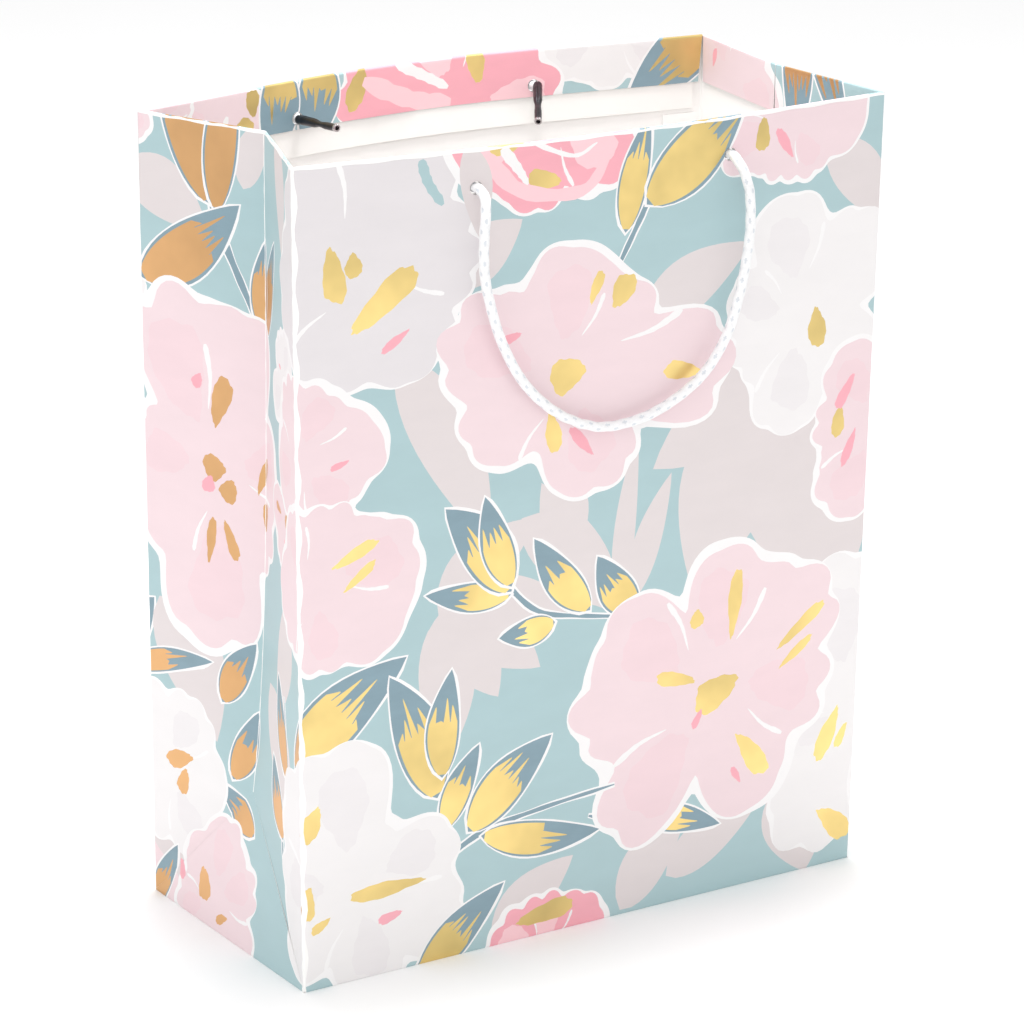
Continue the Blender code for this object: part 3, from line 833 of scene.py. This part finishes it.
def surface(name, rgb, dark, scale, roughness, metallic=0.0, bump=0.1, bump_scale=900.0,
            distance=0.00004, stretch=(1, 1, 1), rough_spread=0.06):
    """Principled material whose colour, roughness and bump vary with object-space noise.

    dark is how much the noise darkens the colour; stretch lengthens the noise along an axis.
    """
    made = bpy.data.materials.new(name)
    made.use_nodes = True
    tree = made.node_tree
    shader = tree.nodes["Principled BSDF"]
    shader.inputs["Metallic"].default_value = metallic
    where = tree.nodes.new("ShaderNodeTexCoord")
    shape = tree.nodes.new("ShaderNodeMapping")
    shape.inputs["Scale"].default_value = stretch
    tree.links.new(where.outputs["Object"], shape.inputs["Vector"])
    wash = node(tree, "ShaderNodeTexNoise", Scale=scale, Detail=4.0, Roughness=0.6)
    tree.links.new(shape.outputs["Vector"], wash.inputs["Vector"])
    tint = tree.nodes.new("ShaderNodeValToRGB")
    colour = linear(rgb)
    tint.color_ramp.elements[0].position = 0.3
    tint.color_ramp.elements[0].color = (*[c * (1 - dark) for c in colour], 1)
    tint.color_ramp.elements[1].position = 0.7
    tint.color_ramp.elements[1].color = (*colour, 1)
    tree.links.new(wash.outputs["Fac"], tint.inputs["Fac"])
    tree.links.new(tint.outputs["Color"], shader.inputs["Base Color"])
    gloss = tree.nodes.new("ShaderNodeMapRange")
    gloss.inputs["To Min"].default_value = roughness - rough_spread
    gloss.inputs["To Max"].default_value = roughness + rough_spread
    tree.links.new(wash.outputs["Fac"], gloss.inputs["Value"])
    tree.links.new(gloss.outputs["Result"], shader.inputs["Roughness"])
    grain = node(tree, "ShaderNodeTexNoise", Scale=bump_scale, Detail=3.0)
    tree.links.new(shape.outputs["Vector"], grain.inputs["Vector"])
    relief = node(tree, "ShaderNodeBump", Strength=bump, Distance=distance)
    tree.links.new(grain.outputs["Fac"], relief.inputs["Height"])
    tree.links.new(relief.outputs["Normal"], shader.inputs["Normal"])
    return made


INKS = {  # material name, colour, how much its wash darkens it, and the scale of the wash
    "aqua": ("ink_aqua", (170, 197, 201), 0.05, 45),
    "taupe": ("ink_taupe", (219, 210, 210), 0.03, 60),
    "ivory": ("ink_ivory", (241, 239, 239), 0.02, 60),
    "white": ("ink_white_petal", (236, 233, 233), 0.03, 40),
    "pearl": ("ink_pearl", (232, 228, 229), 0.03, 60),
    "mist": ("ink_mist", (223, 218, 220), 0.03, 60),
    "blush": ("ink_blush", (235, 213, 217), 0.035, 50),
    "blushed": ("ink_blush_shade", (236, 209, 214), 0.04, 50),
    "petal": ("ink_petal_light", (249, 204, 210), 0.05, 50),
    "rose": ("ink_rose", (244, 172, 184), 0.07, 55),
    "slate": ("ink_slate", (132, 158, 170), 0.10, 80),
}


def make_inks():
    """The print's inks, the foil and its copy with a painted side reflection, the worn creases with
    their painted highlight, and the bare paper, by ink name.
    """
    foil = {"metallic": 1.0, "bump": 0.25, "bump_scale": 260, "distance": 0.00006, "rough_spread": 0.09}
    looks = {}
    for ink, (name, rgb, dark, scale) in INKS.items():
        stretch = (1, 1, 1) if ink == "ivory" else (0.6, 0.6, 1.7)
        looks[ink] = surface(name, rgb, dark, scale, 0.46, stretch=stretch)
    looks["gold"] = surface("foil_gold", (255, 226, 150), 0.42, 15, 0.36, **foil)
    # Warmer, darker copy of the gold foil for the gussets: a painted reflection of the darker
    # surroundings that the foil faces on the bag's sides.
    looks["copper"] = surface("foil_gold_painted_side_reflection", (226, 178, 126), 0.22, 18, 0.40, **foil)
    looks["wear_and_highlight"] = surface("crease_wear_and_painted_highlight", (250, 249, 247), 0.02, 300, 0.6, bump=0.3)
    looks["paper"] = surface("paper_white_back", (253, 251, 249), 0.02, 30, 0.62, bump=0.2,
                             bump_scale=1500)
    return looks


# ---------------------------------------------------------------- paper pieces
def make_wall_sheet(wall, art, looks):
    """Wall and its turned-in hem, one sheet folded over the rim card."""
    x0 = SHEET_X[wall]
    fold = RIM_STACK / 2 / MM
    top = hem_end(fold)
    holes = []
    for side in SIDES.values():
        ends = [corner(wall, end, HOLE_Z).x for end in SIDES]
        along = (side * HOLE_X - ends[0]) / (ends[1] - ends[0])
        x = x0 + W_MM * (along if wall == "front" else 1 - along)
        level = HOLE_Z / MM
        holes.append(circle(x, level, HOLE_RADIUS / MM))
        holes.append(circle(x, 2 * (H_MM - fold) + math.pi * fold - level, HOLE_RADIUS / MM))
    gap = 0.05
    notch = 1.6
    domain = [(x0, gap), (x0 + W_MM, gap), (x0 + W_MM, H_MM - fold), (x0 + W_MM - notch, H_MM + 2),
              (x0 + W_MM - 3, top), (x0 + 3, top), (x0 + notch, H_MM + 2), (x0, H_MM - fold)]
    columns = span(x0 + 4, x0 + W_MM - 4, 6.3)
    rows = span(5, H_MM - fold - 3, 7.5) + span(H_MM + 5, top - 1, 5)
    creases = (edge_lines(x0, x0 + W_MM), EDGE_STEPS + fold_lines(fold))
    sheet = bent_sheet(
        f"{wall}_wall_paper", art, domain, columns, rows,
        lambda x, v, depth: wall_sheet_point(wall, x, v, depth), looks, holes, creases)
    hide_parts(f"{wall}_panel", f"{wall}_hem")
    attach(sheet, f"{wall}_wall")


def make_gusset_sheets(side, art, looks):
    """Both halves of a gusset with their hems, and the triangle at its foot."""
    x0 = SHEET_X[side]
    middle = D_MM / 2
    fold = GUSSET_STACK / 2 / MM
    top = hem_end(fold)
    rows = span(4, H_MM - fold - 3, 7) + span(H_MM + 5, top - 1, 5)
    gap = 0.06
    for wall in WALLS:
        low_end = (side == "left") != (wall == "front")
        outer, inner = (x0, x0 + middle) if low_end else (x0 + D_MM, x0 + middle)
        inwards = 1 if low_end else -1
        domain = [(outer, gap), (inner, middle), (inner, H_MM - fold), (inner - 0.3 * inwards, top),
                  (outer + 3.0 * inwards, top), (outer + 2.2 * inwards, H_MM + 1.5),
                  (outer, H_MM - fold)]
        low, high = min(outer, inner), max(outer, inner)
        creases = ([outer + inwards * n for n in EDGE_STEPS], fold_lines(fold))
        half = bent_sheet(
            f"{side}_gusset_paper_{wall}", art, domain, span(low + 3, high - 3, 6), rows,
            lambda x, v, depth: gusset_sheet_point(wall, side, x, v, depth), looks, (), creases)
        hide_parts(f"{side}_gusset_{wall}", f"{side}_gusset_{wall}_hem")
        x, y = corner(wall, side, 0)[:2]
        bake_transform(half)
    domain = [(x0 + gap, gap), (x0 + D_MM - gap, gap), (x0 + middle, middle)]
    foot = bent_sheet(
        f"{side}_gusset_foot_paper", art, domain, span(x0 + 6, x0 + D_MM - 6, 12),
        span(4, middle - 4, 8), lambda x, v, depth: foot_sheet_point(side, x, v, depth), looks, (),
        ((), EDGE_STEPS))
    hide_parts(f"{side}_gusset_foot")
    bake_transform(foot)


# ---------------------------------------------------------------- cords and barbs
LOOP_ROUTE = (  # distance from the middle, drop below the holes, distance out from the wall
    (-0.0560, 0.0000, -0.0046), (-0.0560, 0.0000, -0.0010), (-0.0560, 0.0001, 0.0026),
    (-0.0561, 0.0022, 0.0058), (-0.0566, 0.0062, 0.0078), (-0.0573, 0.0120, 0.0086),
    (-0.0576, 0.0200, 0.0086), (-0.0570, 0.0300, 0.0081), (-0.0545, 0.0410, 0.0074),
    (-0.0482, 0.0585, 0.0063), (-0.0375, 0.0765, 0.0050), (-0.0235, 0.0900, 0.0043),
    (-0.0080, 0.0982, 0.0040), (0.0060, 0.1003, 0.0040), (0.0240, 0.0970, 0.0043),
    (0.0420, 0.0868, 0.0052), (0.0525, 0.0725, 0.0064), (0.0580, 0.0545, 0.0075),
    (0.0606, 0.0340, 0.0086), (0.0604, 0.0200, 0.0090), (0.0590, 0.0110, 0.0088),
    (0.0572, 0.0048, 0.0072), (0.0562, 0.0012, 0.0044), (0.0560, 0.0001, 0.0018),
    (0.0560, 0.0000, -0.0010), (0.0560, 0.0000, -0.0046),
)
CORD_RING = 32
CORD_STEP = 0.00036
PLAIT = 0.0080  # length of one repeat of the braid
STRANDS = 3
GROOVE = 0.865  # share of the radius below which the braid's surface gets painted shade, a darker colour in its hollows


def smooth_route(points, step):
    """Points about a step apart along the smooth curve through a route's points."""
    fine = np.array([tuple(p) for p in smooth_curve(points, 24)])
    lengths = np.concatenate([[0], np.cumsum(np.linalg.norm(np.diff(fine, axis=0), axis=1))])
    places = np.linspace(0, lengths[-1], round(lengths[-1] / step) + 1)
    route = np.stack([np.interp(places, lengths, fine[:, k]) for k in range(3)], 1)
    return [Vector(p) for p in route.tolist()], places, float(lengths[-1])


def braided_radius(around, along):
    """Radius of a round braid: two families of strands that pass over and under each other."""
    a = STRANDS * around + 2 * math.pi * along / PLAIT
    b = STRANDS * around - 2 * math.pi * along / PLAIT
    over = 0.5 + 0.5 * np.sin((a + b) / 2) * np.sin((a - b) / 2)
    first = np.abs(np.cos(a / 2)) ** 0.8 * (0.62 + 0.38 * over)
    second = np.abs(np.cos(b / 2)) ** 0.8 * (1.0 - 0.38 * over)
    return CORD_RADIUS * (0.72 + 0.32 * np.maximum(first, second))


def make_cord(wall, look, groove_shade_look):
    """Handle cord, from one barb out through its hole, round the loop and back to the other."""
    out = WALLS[wall]
    points = []
    for across, drop, away in LOOP_ROUTE:
        along = 0.5 + across / WIDTH
        base = wall_point(wall, along, HOLE_Z - drop)
        if drop < 0.001 and away < 0.003:
            base.y = hole_place(wall, "left" if across < 0 else "right").y
        points.append(Vector((across, base.y + out * away, HOLE_Z - drop)))
    route, places, length = smooth_route(points, CORD_STEP)
    turn = np.arange(CORD_RING) * 2 * math.pi / CORD_RING
    side = Vector((1, 0, 0))
    verts, relief = [], []
    for i, place in enumerate(route):
        tangent = (route[min(i + 1, len(route) - 1)] - route[max(i - 1, 0)]).normalized()
        if i == 0:
            side = tangent.orthogonal().normalized()
        side = (side - tangent * side.dot(tangent)).normalized()
        up = tangent.cross(side)
        from_end = min(places[i], places[-1] - places[i])
        pinch = 0.68 + 0.32 * min(1, from_end / 0.0028)
        radii = braided_radius(turn, places[i])
        relief.append(radii / CORD_RADIUS)
        for angle, radius in zip(turn, radii * pinch):
            verts.append(place + (side * math.cos(angle) + up * math.sin(angle)) * radius)
    mesh = tube(f"{wall}_braided_cord", verts, CORD_RING, (look, groove_shade_look), 60)
    # Faces in the braid's hollows take the second, darker look: painted shade where the strands dip
    # under each other.
    relief = np.array(relief)
    nearby = (relief[:-1] + relief[1:]) / 2
    nearby = (nearby + np.roll(nearby, -1, axis=1)) / 2
    shaded_hollows = np.concatenate([(nearby < GROOVE).ravel(), [False, False]])
    mesh.polygons.foreach_set("material_index", shaded_hollows.astype(np.int32))
    cord = placed(mesh.name, mesh)
    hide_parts(f"{wall}_handle_cord", f"{wall}_cord_end_left", f"{wall}_cord_end_right")
    middle = (hole_place(wall, "left") + hole_place(wall, "right")) / 2
    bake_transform(cord)


BARB_HEADING = {
    ("front", "left"): (0.20, 0.94, -0.28),
    ("front", "right"): (-0.15, 0.90, -0.42),
    ("back", "left"): (0.00, -0.99, 0.08),
    ("back", "right"): (-0.51, -0.81, -0.29),
}
BARB_RING = 28
BARB_PIVOT = 0.0026  # distance of its pivot from the rim's inner face
BARB_NECK = 0.0155  # where it is pinched most
BARB_BRIGHT = 0.0268  # beyond this its steel is bare
BARB_PROFILE = (  # distance from the pivot, radius
    (-0.0019, 0.0013), (-0.0017, 0.00180), (-0.0008, 0.00198), (0.0012, 0.00192), (0.0026, 0.00199),
    (0.0042, 0.00190), (0.0066, 0.00186), (0.0092, 0.00184), (0.0110, 0.00178), (0.0122, 0.00162),
    (0.0134, 0.00142), (0.0150, 0.00132), (0.0168, 0.00132), (0.0182, 0.00140), (0.0196, 0.00148),
    (0.0225, 0.00148), (0.0255, 0.00148), (0.0268, 0.00149), (0.0272, 0.00153), (0.0280, 0.00153),
    (0.0282, 0.00146),
)
BARB_BORE = ((0.0282, 0.00138), (0.0282, 0.00092), (0.0260, 0.00086))


def make_barb(wall, side, look, tip_look):
    """Crimped barb: a rolled strip with a round head, a pinched neck and an open, bright tail."""
    start = hole_place(wall, side, RIM_STACK + BARB_PIVOT)
    heading = Vector(BARB_HEADING[wall, side]).normalized()
    turn = heading.to_track_quat("Z", "Y").to_matrix()
    verts = []

    def add_ring(distance, radius, squeeze):
        for k in range(BARB_RING):
            angle = 2 * math.pi * k / BARB_RING
            seam = math.exp(-((angle - math.pi / 2) / 0.16) ** 2)
            r = radius * (1 - 0.20 * seam)
            local = Vector((math.cos(angle) * r, math.sin(angle) * r * squeeze, distance))
            verts.append(start + turn @ local)

    for (d0, r0), (d1, r1) in zip(BARB_PROFILE, BARB_PROFILE[1:]):
        for t in (0.0, 0.5):
            d = d0 + (d1 - d0) * t
            squeeze = 1 - 0.16 * math.exp(-((d - BARB_NECK) / 0.0022) ** 2)
            add_ring(d, r0 + (r1 - r0) * t, squeeze)
    for distance, radius in BARB_BORE:
        add_ring(distance, radius, 1)
    mesh = tube(f"{wall}_crimped_barb_{side}", verts, BARB_RING, (look, tip_look), 50)
    for face in mesh.polygons:
        far = (Vector(face.center) - start).dot(heading)
        face.material_index = int(far > BARB_BRIGHT)
    barb = placed(mesh.name, mesh)
    node_name = f"{wall}_barb_{side}"
    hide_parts(node_name)
    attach(barb, f"{wall}_{side}_barb")


# ---------------------------------------------------------------- camera, floor and light
CAMERA_AZIMUTH, CAMERA_ELEVATION, CAMERA_ROLL = -32.795, 18.077, 0.471  # degrees
CAMERA_PLACE = (-0.91898, -1.42914, 0.71021)
CAMERA_LENS = 157.64
LIGHTS = {  # place, aim, size, power, colour
    "key": ((-0.7, -1.6, 1.7), (0, 0, 0.15), 1.3, 6, (1.0, 0.99, 0.97)),
    "fill": ((-1.7, -0.3, 0.9), (0, 0, 0.16), 1.2, 3, (0.95, 0.98, 1.0)),
    "top": ((0.2, 0.4, 1.9), (0, 0, 0.2), 0.9, 14, (1, 1, 1)),
    "mouth": ((0, 0, 0.80), (0, 0, 0.2), 0.16, 2.2, (1, 1, 1)),
}


def make_camera():
    """Camera at the picture's viewing angle: a long lens, to the left and a little above."""
    azimuth, elevation, roll = map(math.radians, (CAMERA_AZIMUTH, CAMERA_ELEVATION, CAMERA_ROLL))
    back = Vector((math.sin(azimuth) * math.cos(elevation),
                   -math.cos(azimuth) * math.cos(elevation), math.sin(elevation)))
    right = Vector((math.cos(azimuth), math.sin(azimuth), 0))
    up = back.cross(right)
    c, s = math.cos(roll), math.sin(roll)
    right, up = c * right + s * up, -s * right + c * up
    data = bpy.data.cameras.new("camera")
    data.sensor_width = 36
    data.lens = CAMERA_LENS
    data.clip_end = 50
    camera = placed("camera", data)
    turn = Matrix((right, up, back)).transposed()
    camera.matrix_world = Matrix.Translation(CAMERA_PLACE) @ turn.to_4x4()
    bpy.context.scene.camera = camera


def make_light(name, place, aim, size, power, colour):
    data = bpy.data.lights.new(name, "AREA")
    data.shape = "DISK"
    data.size = size
    data.energy = power
    data.color = colour
    lamp = placed(name, data)
    turn = (Vector(aim) - Vector(place)).to_track_quat("-Z", "Y").to_matrix()
    lamp.matrix_world = Matrix.Translation(place) @ turn.to_4x4()


def make_stage():
    """Plain pale floor under soft studio light."""
    mesh = bmesh.new()
    bmesh.ops.create_grid(mesh, x_segments=2, y_segments=2, size=40)
    data = bpy.data.meshes.new("floor")
    mesh.to_mesh(data)
    mesh.free()
    floor = placed("floor", data)
    data.materials.append(surface("floor_pale", (250, 250, 250), 0.01, 3, 0.8, bump=0.02))
    world = bpy.data.worlds.new("studio")
    bpy.context.scene.world = world
    world.use_nodes = True
    shade = world.node_tree.nodes["Background"]
    shade.inputs["Color"].default_value = (1, 1, 1, 1)
    shade.inputs["Strength"].default_value = 0.86
    for name, settings in LIGHTS.items():
        make_light(name, *settings)
    bpy.context.scene.view_settings.view_transform = "Standard"


def main():
    make_camera()
    inks = make_inks()
    fibre = {"bump": 0.5, "bump_scale": 5200, "distance": 0.00005}
    cord_look = surface("cord_braid", (246, 246, 247), 0.10, 900, 0.75, **fibre)
    # The groove look is a darker grey-blue copy of the cord's white: painted shade for the braid's
    # hollows.
    groove_shade_look = surface("cord_groove_painted_shade", (222, 226, 231), 0.10, 900, 0.85, **fibre)
    for wall in WALLS:
        make_cord(wall, cord_look, groove_shade_look)
    steel = {"metallic": 1.0, "bump": 0.2, "bump_scale": 1800}
    metal = surface("barb_gunmetal", (74, 72, 76), 0.35, 700, 0.34, **steel)
    tip = surface("barb_tip_steel", (196, 190, 192), 0.25, 900, 0.30, **steel)
    for wall in WALLS:
        for side in SIDES:
            make_barb(wall, side, metal, tip)
    art = compose()
    for wall in WALLS:
        make_wall_sheet(wall, art, inks)
    # The gussets take the warmer copy of the foil in place of the gold: a painted reflection, not a
    # different foil.
    side_inks = {name: inks["copper"] if name == "gold" else look for name, look in inks.items()}
    for side in SIDES:
        make_gusset_sheets(side, art, side_inks)

    card = surface("board_white", (253, 251, 248), 0.03, 60, 0.75, bump=0.25, bump_scale=2200)
    frame_looks = {
        "front_rim_card": card, "back_rim_card": card, "base_card": card,
        "side_seam_flap": inks["paper"], "bottom_flap_left": inks["paper"],
        "bottom_flap_right": inks["paper"], "bottom_flap_front": inks["aqua"],
        "bottom_flap_back": inks["aqua"],
    }
    for name, look in frame_looks.items():
        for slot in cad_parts[name].material_slots:
            slot.material = look
    make_stage()


main()
